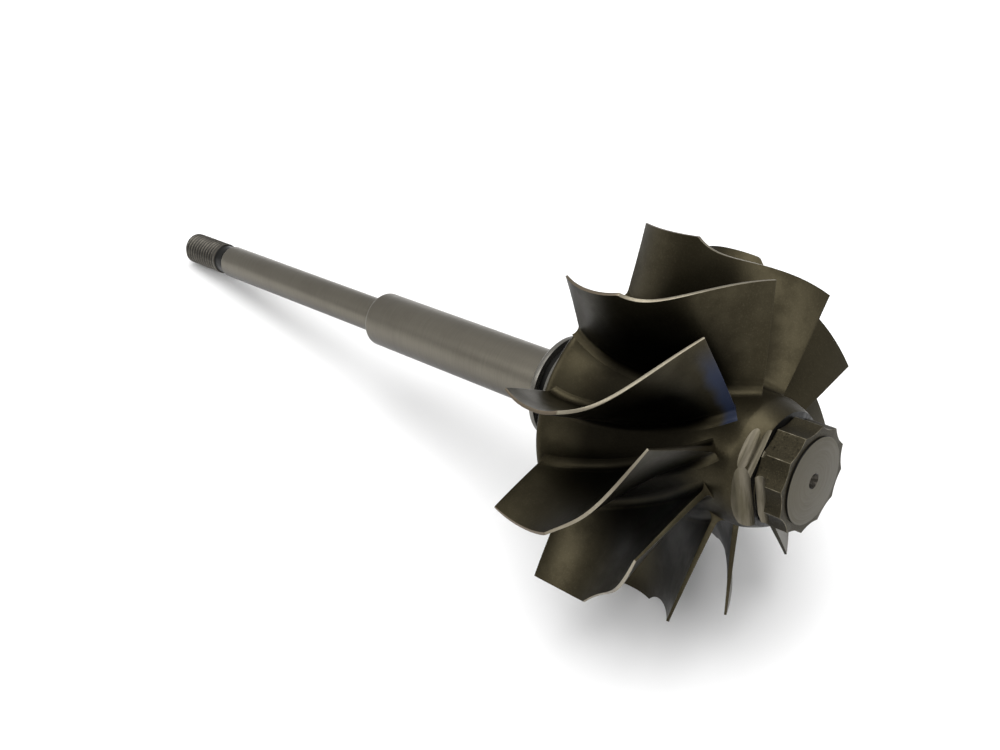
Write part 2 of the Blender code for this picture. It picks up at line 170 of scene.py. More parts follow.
class ShaftSizes(bpy.types.PropertyGroup):
    boss_radius: length("Boss radius", "Weld boss behind the hub", 18.2)
    collar_radius: length("Collar radius", "Both lands of the collar", 17.0)
    inner_land_x: length("Inner land", "Front of the inner land", -78.0)
    groove_front_x: length("Groove front", "Front wall of the ring groove", -84.1)
    groove_rear_x: length("Groove rear", "Rear wall of the ring groove", -87.4)
    groove_radius: length("Groove radius", "Floor of the ring groove", 14.8)
    collar_rear_x: length("Collar rear", "Rear face of the collar", -90.0)
    collar_chamfer: length("Collar chamfer", "Chamfer of the rear edge", 1.0)
    journal_radius: length("Journal radius", "Shaft in the bearings", 9.72)
    journal_end_x: length("Journal end", "Step to the thinner shank", -176.0)
    journal_rounding: length("Journal rounding", "Rounding of the step's edge", 1.6)
    shank_radius: length("Shank radius", "Shaft in the compressor wheel", 6.3)
    shank_end_x: length("Shank end", "End of the shank", -270.8)
    shank_chamfer: length("Shank chamfer", "Chamfer of the shank's end", 0.9)
    relief_radius: length("Relief radius", "Groove before the thread", 5.6)
    thread_start_x: length("Thread start", "Start of the thread", -275.3)
    thread_end_x: length("Thread end", "End face of the thread", -298.0)
    thread_radius: length("Thread radius", "Thread over its crests", 6.2)
    thread_pitch: length("Thread pitch", "Thread pitch", 1.75)
    thread_depth: length("Thread depth", "Depth of the thread", 0.5)
    end_radius: length("End radius", "Flat at the thread's end", 4.3)


class FinishColours(bpy.types.PropertyGroup):
    casting: colour("Casting", "Cast skin of the wheel", 0.033, 0.0275, 0.0155)
    # Near-black tone: painted shade in the passages, on faces that look down or towards the shaft and
    # in the recesses, and the soot and dark pits of the casting.
    soot_and_shade: colour("Soot", "Dark tone in the passages", 0.0028, 0.0023, 0.0012)
    casting_light: colour("Casting highlight", "Lighter grain of the cast skin", 0.072, 0.062, 0.038)
    machined_tip: colour("Machined tips", "Turned edges of the blades", 0.25, 0.225, 0.17)
    brown_tip: colour("Brown tips", "Turned edges of the inducer", 0.12, 0.097, 0.07)
    balance_cut: colour("Balance cuts", "Ground floor of the balance cuts", 0.145, 0.128, 0.095)
    nut_skin: colour("Nut skin", "Cast sides of the nut", 0.027, 0.0225, 0.013)
    worn_edge: colour("Worn edges", "Bare metal on ridges", 0.20, 0.18, 0.135)
    disc_face: colour("End disc", "Turned disc of the nut", 0.060, 0.053, 0.037)
    ground_steel: colour("Ground steel", "Journal and shank", 0.150, 0.138, 0.112)
    ground_dark: colour("Ground steel lines", "Darker lines of the grinding", 0.10, 0.09, 0.073)
    collar_steel: colour("Collar steel", "Lands of the collar", 0.19, 0.183, 0.165)
    # Very dark steel: painted shade in the ring groove, the centre hole and the crevices by the nut,
    # and the thread's darker roots.
    groove_steel: colour("Groove steel", "Floor of the ring groove", 0.016, 0.016, 0.015)
    thread_steel: colour("Thread steel", "Thread and its relief", 0.048, 0.043, 0.036)
    blue_paint: colour("Blue marking", "Workshop paint on one blade", 0.002, 0.009, 0.035)


class StudioSettings(bpy.types.PropertyGroup):
    floor: colour("Floor", "Pale studio floor", 0.93, 0.93, 0.93)
    floor_size: length("Floor size", "Edge of the floor", 9000.0)
    lens: FloatProperty(
        name="Lens", description="Focal length on a 36 mm frame", default=45.59, min=1.0
    )
    ambient: plain("Ambient", "Strength of the white surroundings", 0.62)


SETTINGS = {
    "rotor_blades": BladeSizes,
    "rotor_hub": HubSizes,
    "rotor_nut": NutSizes,
    "rotor_shaft": ShaftSizes,
    "rotor_finishes": FinishColours,
    "rotor_studio": StudioSettings,
}


def settings(name):
    return getattr(bpy.context.scene, name)


# Modelling helpers. Everything is deselected before a primitive is added.


def deselect():
    if bpy.context.object and bpy.context.object.mode != "OBJECT":
        bpy.ops.object.mode_set(mode="OBJECT")
    bpy.ops.object.select_all(action="DESELECT")


def choose(piece):
    """Makes one object the only selected and the active one."""
    deselect()
    piece.select_set(True)
    bpy.context.view_layer.objects.active = piece


def named(name):
    piece = bpy.context.object
    piece.name = name
    piece.data.name = name
    return piece


def apply_modifier(piece, kind, name, **values):
    choose(piece)
    modifier = piece.modifiers.new(name, kind)
    for key, value in values.items():
        setattr(modifier, key, value)
    bpy.ops.object.modifier_apply(modifier=modifier.name)


def tidy_mesh(piece, merge=1e-7):
    """Merges doubles and turns all faces outwards."""
    choose(piece)
    bpy.ops.object.mode_set(mode="EDIT")
    bpy.ops.mesh.select_all(action="SELECT")
    bpy.ops.mesh.remove_doubles(threshold=merge)
    bpy.ops.mesh.normals_make_consistent(inside=False)
    bpy.ops.object.mode_set(mode="OBJECT")


def smooth(piece, sharp_degrees=30.0):
    choose(piece)
    bpy.ops.object.shade_smooth_by_angle(angle=math.radians(sharp_degrees))


def turned(name, stations, segments, merge=1e-7, closed=True):
    """A turned body: one point is drawn out along the (x, radius) stations and spun round."""
    deselect()
    bpy.ops.mesh.primitive_plane_add(size=MM, location=(stations[0][0], 0.0, 0.0))
    piece = named(name)
    bpy.ops.object.transform_apply(location=True, rotation=False, scale=False)
    bpy.ops.object.mode_set(mode="EDIT")
    bpy.ops.mesh.select_all(action="SELECT")
    bpy.ops.mesh.merge(type="CENTER")
    outline = [*stations, (stations[-1][0], 0.0)] if closed else list(stations)
    here = Vector((stations[0][0], 0.0, 0.0))
    for x, radius in outline:
        target = Vector((x, radius, 0.0))
        bpy.ops.mesh.extrude_vertices_move(TRANSFORM_OT_translate={"value": target - here})
        here = target
    bpy.ops.mesh.select_all(action="SELECT")
    bpy.ops.mesh.spin(
        steps=segments,
        angle=math.tau,
        center=(0.0, 0.0, 0.0),
        axis=(1.0, 0.0, 0.0),
        use_auto_merge=True,
    )
    bpy.ops.object.mode_set(mode="OBJECT")
    tidy_mesh(piece, merge)
    return piece


def rounded(stations, radius, steps=3, only=None):
    """Rounds the corners of an outline of (x, radius) stations with short arcs."""
    points = [Vector(station) for station in stations]
    result = [points[0]]
    for i in range(1, len(points) - 1):
        back, ahead = points[i - 1] - points[i], points[i + 1] - points[i]
        room = min(back.length, ahead.length) * 0.45
        reach = min(radius, room)
        if only is not None and i not in only:
            result.append(points[i])
            continue
        start, end = points[i] + back.normalized() * reach, points[i] + ahead.normalized() * reach
        for k in range(steps + 1):
            share = k / steps
            first = start.lerp(points[i], share)
            second = points[i].lerp(end, share)
            result.append(first.lerp(second, share))
    result.append(points[-1])
    return [tuple(point) for point in result]


def mark_faces(piece, index, test):
    """Gives a material index to the faces whose middle and normal pass a test."""
    for face in piece.data.polygons:
        if test(face.center, face.normal):
            face.material_index = index


def cut_away(piece, tool):
    """Cuts a tool body out of a piece; the cut's walls keep the tool's own material."""
    apply_modifier(
        piece,
        "BOOLEAN",
        tool.name,
        operation="DIFFERENCE",
        solver="EXACT",
        object=tool,
        material_mode="TRANSFER",
    )
    bpy.data.objects.remove(tool, do_unlink=True)


def grinding_point(name, turn, x, radius, floor, metal, reach=30.0 * MM, rise=6.0 * MM):
    """The room that a round grinding point sweeps as it comes in across the nose."""
    deselect()
    centre = floor + radius
    bpy.ops.mesh.primitive_cylinder_add(
        vertices=72,
        radius=radius,
        depth=reach,
        location=(x, centre * math.cos(turn), centre * math.sin(turn)),
        rotation=(turn, 0.0, 0.0),
    )
    tool = named(name)
    for vert in tool.data.vertices:
        if vert.co.y > 0.1 * MM:
            vert.co.y += rise
    tool.data.materials.append(metal)
    return tool


def lay_on_bench(piece, node_names):
    """Moves a finished mesh from the wheel's axis to its place and ties it to the frame."""
    choose(piece)
    piece.matrix_world = WHEEL
    bpy.ops.object.transform_apply(location=True, rotation=True, scale=True)
    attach(piece, "root")
    if node_names:
        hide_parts(*node_names)
    return piece


# Shapes that several pieces share.


def camber(x):
    """Angle of the blade's middle surface round the axis, at a place along the axis."""
    size = settings("rotor_blades")
    turn = 1.0 - (x - size.exducer_x) / (size.camber_x - size.exducer_x)
    return size.camber * (1.0 - abs(turn) ** size.camber_power)


def hub_radius(x):
    size, edge = settings("rotor_hub"), settings("rotor_blades").exducer_x
    share = max(0.0, (edge - x) / (edge - size.rim_x))
    return size.waist_radius + (size.rim_radius - size.waist_radius) * share**size.flare_power


def shroud_radius(x):
    size = settings("rotor_blades")
    if x <= size.front_x:
        share = (x - size.rear_x) / (size.front_x - size.rear_x)
        return size.rear_radius + (size.front_radius - size.rear_radius) * share
    left = max(0.0, 1.0 - (x - size.front_x) / (size.exducer_x - size.front_x))
    drop = size.front_radius - size.exducer_radius - size.taper
    return size.exducer_radius + size.taper * left + drop * left**size.drop_power


def half_thickness(x, height, span):
    size = settings("rotor_blades")
    share = min(1.0, max(0.0, height / span))
    half = 0.5 * (size.root_thickness + (size.tip_thickness - size.root_thickness) * share)
    to_edge = max(0.0, min(size.exducer_x - x, x - size.rear_x))
    half *= 1.0 - size.thinning * max(0.0, 1.0 - to_edge / size.thinning_length) ** 2
    if height < size.fillet:
        rise = size.fillet - max(height, 0.0)
        half += size.fillet - math.sqrt(size.fillet**2 - rise**2)
    return half


def blade_point(tip_x, root_x, height, side):
    """A point of the blade's skin at a height over the hub; side is -1 or 1."""
    size = settings("rotor_blades")
    root = hub_radius(root_x)
    span = shroud_radius(tip_x) - root
    share = height / span
    x = root_x + (tip_x - root_x) * share
    radius = root + height
    step = 0.05 * MM
    slope = radius * (camber(x + step) - camber(x - step)) / (2.0 * step)
    offset = side * half_thickness(x, height, span) / math.hypot(1.0, slope)
    shift = -offset * slope
    back = (size.exducer_x - x) / (size.exducer_x - size.rear_x)
    lean = size.front_lean + (size.rear_lean - size.front_lean) * back
    turn = camber(x) + lean * max(0.0, 1.0 - share) ** size.lean_power + offset / radius
    root_rise = hub_radius(root_x + shift) - root
    tip_rise = shroud_radius(tip_x + shift) - shroud_radius(tip_x)
    radius += root_rise * (1.0 - share) + tip_rise * share
    return Vector((x + shift, radius * math.cos(turn), radius * math.sin(turn)))


# Finishes. The groups are built once and put out only masks, values and heights.


def add(tree, kind, inputs=None, **values):
    """Adds a node, sets its values, and fills its inputs with numbers or links."""
    made = tree.nodes.new(kind)
    for key, value in values.items():
        setattr(made, key, value)
    for key, value in (inputs or {}).items():
        if isinstance(value, bpy.types.NodeSocket):
            tree.links.new(value, made.inputs[key])
        else:
            made.inputs[key].default_value = value
    return made


def sums(tree, operation, first, second=0.0, third=0.0, clamp=False):
    inputs = {0: first, 1: second, 2: third}
    return add(tree, "ShaderNodeMath", inputs, operation=operation, use_clamp=clamp).outputs[0]


def ramp(tree, value, low, high, start=0.0, end=1.0):
    """Smooth step of a value from one number to another between two limits."""
    inputs = {"Value": value, "From Min": low, "From Max": high, "To Min": start, "To Max": end}
    return add(tree, "ShaderNodeMapRange", inputs, interpolation_type="SMOOTHSTEP").outputs[0]


def blend(tree, share, first, second, mode="MIX"):
    inputs = {0: share, 6: first, 7: second}
    made = add(tree, "ShaderNodeMix", inputs, data_type="RGBA", blend_type=mode)
    return made.outputs[2]


def noise(tree, vector, scale, detail=3.0, roughness=0.5, stretch=None):
    if stretch is not None:
        vector = add(
            tree, "ShaderNodeVectorMath", {0: vector, 1: stretch}, operation="MULTIPLY"
        ).outputs[0]
    inputs = {"Vector": vector, "Scale": scale, "Detail": detail, "Roughness": roughness}
    return add(tree, "ShaderNodeTexNoise", inputs).outputs["Fac"]


def new_group(name, inputs, outputs):
    """An empty shader node group with named sockets: its tree, its inputs and its output."""
    tree = bpy.data.node_groups.new(name, "ShaderNodeTree")
    for socket, kind, value in inputs:
        made = tree.interface.new_socket(name=socket, in_out="INPUT", socket_type=kind)
        if value is not None:
            made.default_value = value
    for socket, kind in outputs:
        tree.interface.new_socket(name=socket, in_out="OUTPUT", socket_type=kind)
    entry = tree.nodes.new("NodeGroupInput")
    leave = tree.nodes.new("NodeGroupOutput")
    return tree, entry.outputs, leave.inputs


def wheel_axes_group():
    """Place on the wheel's own axis: along it, out from it and round it."""
    outputs = [("Place", "NodeSocketVector")]
    outputs += [(name, "NodeSocketFloat") for name in ("Along", "Radius", "Around")]
    tree, _, leave = new_group("wheel_axes", [], outputs)
    back = WHEEL.inverted()
    where = add(tree, "ShaderNodeTexCoord").outputs["Object"]
    inputs = {"Vector": where, "Location": back.translation, "Rotation": back.to_euler()}
    place = add(tree, "ShaderNodeMapping", inputs, vector_type="POINT").outputs[0]
    parts = add(tree, "ShaderNodeSeparateXYZ", {0: place}).outputs
    across = sums(tree, "MULTIPLY", parts[1], parts[1])
    square = sums(tree, "MULTIPLY_ADD", parts[2], parts[2], across)
    tree.links.new(place, leave["Place"])
    tree.links.new(parts[0], leave["Along"])
    tree.links.new(sums(tree, "SQRT", square), leave["Radius"])
    tree.links.new(sums(tree, "ARCTAN2", parts[2], parts[1]), leave["Around"])
    return tree


def cast_grain_group():
    """Skin of an investment casting: fine grain, slow waves and a few pits."""
    inputs = [("Place", "NodeSocketVector", None), ("Fineness", "NodeSocketFloat", 1.0)]
    outputs = [(name, "NodeSocketFloat") for name in ("Height", "Mottle", "Speckle")]
    tree, entry, leave = new_group("cast_grain", inputs, outputs)
    place = add(
        tree,
        "ShaderNodeVectorMath",
        {0: entry["Place"], "Scale": entry["Fineness"]},
        operation="SCALE",
    ).outputs[0]
    grain = noise(tree, place, 1900.0, 4.0, 0.62)
    waves = noise(tree, place, 210.0, 3.0, 0.55)
    mottle = noise(tree, place, 70.0, 5.0, 0.6)
    cells = add(tree, "ShaderNodeTexVoronoi", {"Vector": place, "Scale": 420.0}).outputs["Distance"]
    pits = ramp(tree, cells, 0.05, 0.16, 1.0, 0.0)
    few = ramp(tree, noise(tree, place, 90.0, 2.0), 0.6, 0.7)
    pits = sums(tree, "MULTIPLY", pits, few)
    height = sums(tree, "MULTIPLY_ADD", waves, 0.8, sums(tree, "MULTIPLY", grain, 0.45))
    tree.links.new(sums(tree, "SUBTRACT", height, sums(tree, "MULTIPLY", pits, 0.5)), leave["Height"])
    tree.links.new(ramp(tree, mottle, 0.36, 0.66), leave["Mottle"])
    tree.links.new(ramp(tree, grain, 0.5, 0.72), leave["Speckle"])
    return tree


def tool_marks_group():
    """Fine lines that a tool leaves round the axis, across the given direction."""
    inputs = [
        ("Across", "NodeSocketFloat", 0.0),
        ("Around", "NodeSocketFloat", 0.0),
        ("Spacing", "NodeSocketFloat", 0.3 * MM),
    ]
    outputs = [(name, "NodeSocketFloat") for name in ("Height", "Streaks")]
    tree, entry, leave = new_group("tool_marks", inputs, outputs)
    steps = sums(tree, "DIVIDE", entry["Across"], entry["Spacing"])
    cosine = sums(tree, "MULTIPLY", sums(tree, "COSINE", entry["Around"]), 0.8)
    sine = sums(tree, "MULTIPLY", sums(tree, "SINE", entry["Around"]), 0.8)
    fine = add(tree, "ShaderNodeCombineXYZ", {0: steps, 1: cosine, 2: sine}).outputs[0]
    lines = noise(tree, fine, 1.0, 4.0, 0.7)
    wide = noise(tree, fine, 0.12, 3.0, 0.6)
    tree.links.new(sums(tree, "MULTIPLY_ADD", wide, 0.5, lines), leave["Height"])
    tree.links.new(ramp(tree, lines, 0.35, 0.68), leave["Streaks"])
    return tree


def worn_edge_group():
    """Breaks a mask up, so that wear along an edge, and the painted highlight along the root fillets,
    are uneven.
    """
    inputs = [
        ("Mask", "NodeSocketFloat", 0.0),
        ("Place", "NodeSocketVector", None),
        ("Patchiness", "NodeSocketFloat", 0.5),
    ]
    tree, entry, leave = new_group("worn_edge", inputs, [("Wear", "NodeSocketFloat")])
    broken = ramp(tree, noise(tree, entry["Place"], 320.0, 4.0, 0.6), 0.32, 0.62)
    kept = sums(tree, "SUBTRACT", 1.0, sums(tree, "MULTIPLY", entry["Patchiness"], broken))
    tree.links.new(sums(tree, "MULTIPLY", entry["Mask"], kept, clamp=True), leave["Wear"])
    return tree


def facing_group():
    """How far a surface looks down at the bench, and how far it looks towards the shaft: masks for
    painted shade on faces the lights hardly reach in this pose.
    """
    outputs = [("Down", "NodeSocketFloat"), ("Back", "NodeSocketFloat")]
    tree, _, leave = new_group("facing", [], outputs)
    normal = add(tree, "ShaderNodeTexCoord").outputs["Normal"]
    parts = add(tree, "ShaderNodeSeparateXYZ", {0: normal}).outputs
    tree.links.new(ramp(tree, parts[2], 0.3, -0.5), leave["Down"])
    tree.links.new(ramp(tree, parts[0], -0.15, -0.75), leave["Back"])
    return tree


def place_group(tree, name, inputs=None):
    made = add(tree, "ShaderNodeGroup", node_tree=bpy.data.node_groups[name])
    for key, value in (inputs or {}).items():
        if isinstance(value, bpy.types.NodeSocket):
            tree.links.new(value, made.inputs[key])
        else:
            made.inputs[key].default_value = value
    return made.outputs


def new_finish(name, metallic, **constants):
    """A material, its tree, its shader and the wheel's axes to draw with."""
    finish = bpy.data.materials.new(name)
    finish.use_nodes = True
    tree = finish.node_tree
    shader = tree.nodes["Principled BSDF"]
    shader.inputs["Metallic"].default_value = metallic
    for key, value in constants.items():
        shader.inputs[key.replace("_", " ")].default_value = value
    return finish, tree, shader, place_group(tree, "wheel_axes")


def connect(tree, shader, base, roughness, height, depth):
    """Feeds colour, roughness and a bump of a real depth to the shader."""
    tree.links.new(base, shader.inputs["Base Color"])
    tree.links.new(roughness, shader.inputs["Roughness"])
    bump = add(tree, "ShaderNodeBump", {"Height": height, "Distance": depth, "Strength": 1.0})
    tree.links.new(bump.outputs[0], shader.inputs["Normal"])


def tinted(value):
    return tuple(value)


def cast_finish(name, painted=False):
    """Dark cast skin: darker in the passages from soot and painted shade, painted shade on faces that
    look down or back, and a painted highlight on the root fillets.
    """
    tones = settings("rotor_finishes")
    finish, tree, shader, axes = new_finish(name, 0.95)
    grain = place_group(tree, "cast_grain", {"Place": axes["Place"], "Fineness": 1.0})
    # Passage mask: darker deep between the blades and near the hub, partly soot and partly painted
    # shade.
    front = ramp(tree, axes["Along"], -20.0 * MM, -31.0 * MM)
    rear = ramp(tree, axes["Along"], -66.0 * MM, -54.0 * MM)
    low = ramp(tree, axes["Radius"], 53.0 * MM, 28.0 * MM)
    passage = sums(tree, "MULTIPLY", sums(tree, "MULTIPLY", front, rear), low)
    # Painted shade on faces that look down at the bench or back towards the shaft.
    facing = place_group(tree, "facing")
    facing_shade = sums(tree, "MULTIPLY_ADD", facing["Back"], 0.6,
                  sums(tree, "MULTIPLY", facing["Down"], 0.7))
    soot_and_shade = sums(tree, "MULTIPLY_ADD", passage, 0.85, facing_shade, clamp=True)
    soot_and_shade = sums(tree, "MULTIPLY", soot_and_shade, 0.96)
    base = blend(tree, sums(tree, "MULTIPLY", grain["Mottle"], 0.35),
                 tinted(tones.casting), tinted(tones.casting_light))
    base = blend(tree, sums(tree, "MULTIPLY", grain["Speckle"], 0.35), base,
                 tinted(tones.casting_light))
    base = blend(tree, soot_and_shade, base, tinted(tones.soot_and_shade))
    # Painted highlight: a thin light line along the blade root fillets, broken into patches.
    root = add(tree, "ShaderNodeAttribute", attribute_name="root_fillet").outputs["Fac"]
    line = sums(tree, "MULTIPLY", ramp(tree, root, 0.05, 0.22), ramp(tree, root, 0.42, 0.24))
    painted_fillet_highlight = place_group(tree, "worn_edge", {"Mask": line, "Place": axes["Place"], "Patchiness": 0.6})
    base = blend(tree, sums(tree, "MULTIPLY", painted_fillet_highlight["Wear"], 0.25), base, tinted(tones.casting_light))
    rough = ramp(tree, grain["Mottle"], 0.0, 1.0, 0.46, 0.36)
    if painted:
        edge = sums(tree, "MULTIPLY_ADD", noise(tree, axes["Place"], 160.0, 3.0), 2.0 * MM,
                    axes["Along"])
        mask = ramp(tree, edge, -21.9 * MM, -19.6 * MM)
        mask = sums(tree, "MULTIPLY", mask, ramp(tree, axes["Radius"], 52.0 * MM, 36.0 * MM))
        base = blend(tree, sums(tree, "MULTIPLY", mask, 0.92), base, tinted(tones.blue_paint))
        bare = sums(tree, "SUBTRACT", 0.95, sums(tree, "MULTIPLY", mask, 0.6))
        tree.links.new(bare, shader.inputs["Metallic"])
    connect(tree, shader, base, rough, grain["Height"], 0.05 * MM)
    return finish


def tip_finish():
    """Turned blade edges: bright on the shroud line, browner on the inducer."""
    tones = settings("rotor_finishes")
    finish, tree, shader, axes = new_finish("turned_blade_edge", 0.85)
    marks = place_group(
        tree,
        "tool_marks",
        {"Across": axes["Along"], "Around": axes["Around"], "Spacing": 0.12 * MM},
    )
    grain = place_group(tree, "cast_grain", {"Place": axes["Place"], "Fineness": 1.6})
    inducer = ramp(tree, axes["Along"], -46.3 * MM, -46.6 * MM)
    base = blend(tree, inducer, tinted(tones.machined_tip), tinted(tones.brown_tip))
    base = blend(tree, sums(tree, "MULTIPLY", grain["Mottle"], 0.45), base,
                 tinted(tones.brown_tip))
    rough = ramp(tree, marks["Streaks"], 0.0, 1.0, 0.46, 0.30)
    connect(tree, shader, base, rough, marks["Height"], 0.02 * MM)
    return finish


def ground_cut_finish():
    """Floor of a balance cut: bright lines along the sweep of the grinding point."""
    tones = settings("rotor_finishes")
    finish, tree, shader, axes = new_finish("ground_balance_cut", 0.8)
    lines = noise(tree, axes["Place"], 1500.0, 4.0, 0.65, stretch=(1.0, 0.12, 0.12))
    bands = noise(tree, axes["Place"], 420.0, 3.0, 0.6, stretch=(1.0, 0.1, 0.1))
    base = blend(tree, ramp(tree, bands, 0.35, 0.65), tinted(tones.casting_light),
                 tinted(tones.balance_cut))
    rough = ramp(tree, lines, 0.3, 0.7, 0.36, 0.52)
    connect(tree, shader, base, rough, lines, 0.04 * MM)
    return finish


def nut_finish():
    """Cast sides of the nut: rough scale with fine dark pits and a few black marks, and painted shade
    on faces that look down.
    """
    tones = settings("rotor_finishes")
    finish, tree, shader, axes = new_finish("cast_nut_skin", 0.9)
    grain = place_group(tree, "cast_grain", {"Place": axes["Place"], "Fineness": 1.3})
    base = blend(tree, grain["Mottle"], tinted(tones.nut_skin), tinted(tones.casting))
    base = blend(tree, sums(tree, "MULTIPLY", grain["Speckle"], 0.55), base,
                 tinted(tones.casting_light))
    pits = ramp(tree, noise(tree, axes["Place"], 1300.0, 3.0, 0.6), 0.60, 0.66)
    marks = ramp(tree, noise(tree, axes["Place"], 260.0, 5.0, 0.75), 0.62, 0.67)
    rear = ramp(tree, axes["Along"], -1.5 * MM, -4.5 * MM)
    marks = sums(tree, "MULTIPLY", marks, rear)
    spots = sums(tree, "MULTIPLY_ADD", pits, 0.45, marks, clamp=True)
    base = blend(tree, sums(tree, "MULTIPLY", spots, 0.9), base, tinted(tones.soot_and_shade))
    # Painted shade on faces that look down at the bench.
    base = blend(tree, sums(tree, "MULTIPLY", place_group(tree, "facing")["Down"], 0.5), base,
                 tinted(tones.soot_and_shade))
    rough = ramp(tree, grain["Mottle"], 0.0, 1.0, 0.54, 0.46)
    height = sums(tree, "SUBTRACT", grain["Height"], spots)
    connect(tree, shader, base, rough, height, 0.10 * MM)
    return finish


def worn_ridge_finish():
    """Bare metal where the nut's ridges have been rubbed by the socket."""
    tones = settings("rotor_finishes")
    finish, tree, shader, axes = new_finish("worn_nut_ridge", 0.8)
    grain = place_group(tree, "cast_grain", {"Place": axes["Place"], "Fineness": 1.3})
    wear = place_group(
        tree, "worn_edge", {"Mask": 0.9, "Place": axes["Place"], "Patchiness": 1.0}
    )["Wear"]
    base = blend(tree, wear, tinted(tones.casting_light), tinted(tones.worn_edge))
    rough = ramp(tree, wear, 0.0, 1.0, 0.5, 0.34)
    connect(tree, shader, base, rough, grain["Height"], 0.03 * MM)
    return finish


def turned_finish(name, tones_of, along, spacing, metallic=0.9, rough=(0.30, 0.38), shade=0.6):
    """Turned or ground steel; the marks cross the axis, or the radius on a face. Faces that look down
    get painted shade.
    """
    light, dark = (tinted(getattr(settings("rotor_finishes"), tone)) for tone in tones_of)
    finish, tree, shader, axes = new_finish(name, metallic)
    across = axes["Along"] if along else axes["Radius"]
    marks = place_group(
        tree, "tool_marks", {"Across": across, "Around": axes["Around"], "Spacing": spacing}
    )
    stain = ramp(tree, noise(tree, axes["Place"], 55.0, 4.0, 0.6), 0.45, 0.75, 0.0, 0.4)
    base = blend(tree, sums(tree, "MULTIPLY", marks["Streaks"], 0.35), light, dark)
    base = blend(tree, stain, base, dark)
    # Painted shade on faces that look down at the bench; shade sets its strength.
    under = sums(tree, "MULTIPLY", place_group(tree, "facing")["Down"], shade)
    base = blend(tree, under, base, tinted(settings("rotor_finishes").soot_and_shade))
    value = ramp(tree, marks["Streaks"], 0.0, 1.0, rough[0], rough[1])
    connect(tree, shader, base, value, marks["Height"], 0.006 * MM)
    return finish


def thread_finish():
    """Dark thread with rubbed crests, darker towards its roots."""
    tones = settings("rotor_finishes")
    finish, tree, shader, axes = new_finish("oiled_thread", 0.85)
    grain = place_group(tree, "cast_grain", {"Place": axes["Place"], "Fineness": 2.0})
    crest = ramp(tree, axes["Radius"], 5.7 * MM, 6.15 * MM)
    wear = place_group(
        tree, "worn_edge", {"Mask": crest, "Place": axes["Place"], "Patchiness": 0.6}
    )["Wear"]
    base = blend(tree, crest, tinted(tones.groove_steel), tinted(tones.thread_steel))
    base = blend(tree, sums(tree, "MULTIPLY", wear, 0.5), base, tinted(tones.ground_steel))
    rough = ramp(tree, grain["Mottle"], 0.0, 1.0, 0.42, 0.32)
    connect(tree, shader, base, rough, grain["Height"], 0.01 * MM)
    return finish


def floor_finish():
    tones = settings("rotor_studio")
    finish = bpy.data.materials.new("studio_floor")
    finish.use_nodes = True
    tree = finish.node_tree
    where = add(tree, "ShaderNodeTexCoord").outputs["Object"]
    cloud = noise(tree, where, 3.0, 3.0)
    pale = tinted(tones.floor)
    shade = tuple(part * 0.985 for part in pale[:3]) + (1.0,)
    shader = tree.nodes["Principled BSDF"]
    shader.inputs["Specular IOR Level"].default_value = 0.1
    tree.links.new(blend(tree, cloud, pale, shade), shader.inputs["Base Color"])
    shader.inputs["Roughness"].default_value = 0.9
    return finish


def make_finishes():
    wheel_axes = wheel_axes_group()
    grouped = (cast_grain_group(), tool_marks_group(), worn_edge_group(), facing_group())
    for group in (wheel_axes, *grouped):
        group.use_fake_user = True
    cast_finish("cast_skin")
    cast_finish("cast_skin_marked", painted=True)
    tip_finish()
    ground_cut_finish()
    nut_finish()
    worn_ridge_finish()
    disc, ground = ("disc_face", "casting_light"), ("ground_steel", "ground_dark")
    collar, groove = ("collar_steel", "ground_dark"), ("groove_steel", "soot_and_shade")
    turned_finish("turned_end_disc", disc, False, 0.22 * MM, 0.8, (0.42, 0.52))
    turned_finish("ground_journal", ground, True, 0.18 * MM, 0.9, (0.34, 0.42))
    turned_finish("ground_shank", ground, True, 0.18 * MM, 0.9, (0.32, 0.40))
    turned_finish("turned_collar", collar, True, 0.3 * MM, 0.9, (0.24, 0.34))
    turned_finish("turned_faces", collar, False, 0.3 * MM, 0.9, (0.26, 0.36))
    # Painted shade for recesses: the ring groove's floor, the neck's face beside the nut and the end
    # disc's side wall.
    turned_finish("dark_groove", groove, True, 0.4 * MM, 0.9, (0.32, 0.42))
    # Centre hole: its dark tones paint the shade inside the hole.
    turned_finish("drilled_hole", ("thread_steel", "groove_steel"), True, 0.4 * MM, 1.0, (0.2, 0.3))
    thread_finish()


def finish_of(name):
    return bpy.data.materials[name]


# Operators, one for each piece or group of like pieces.


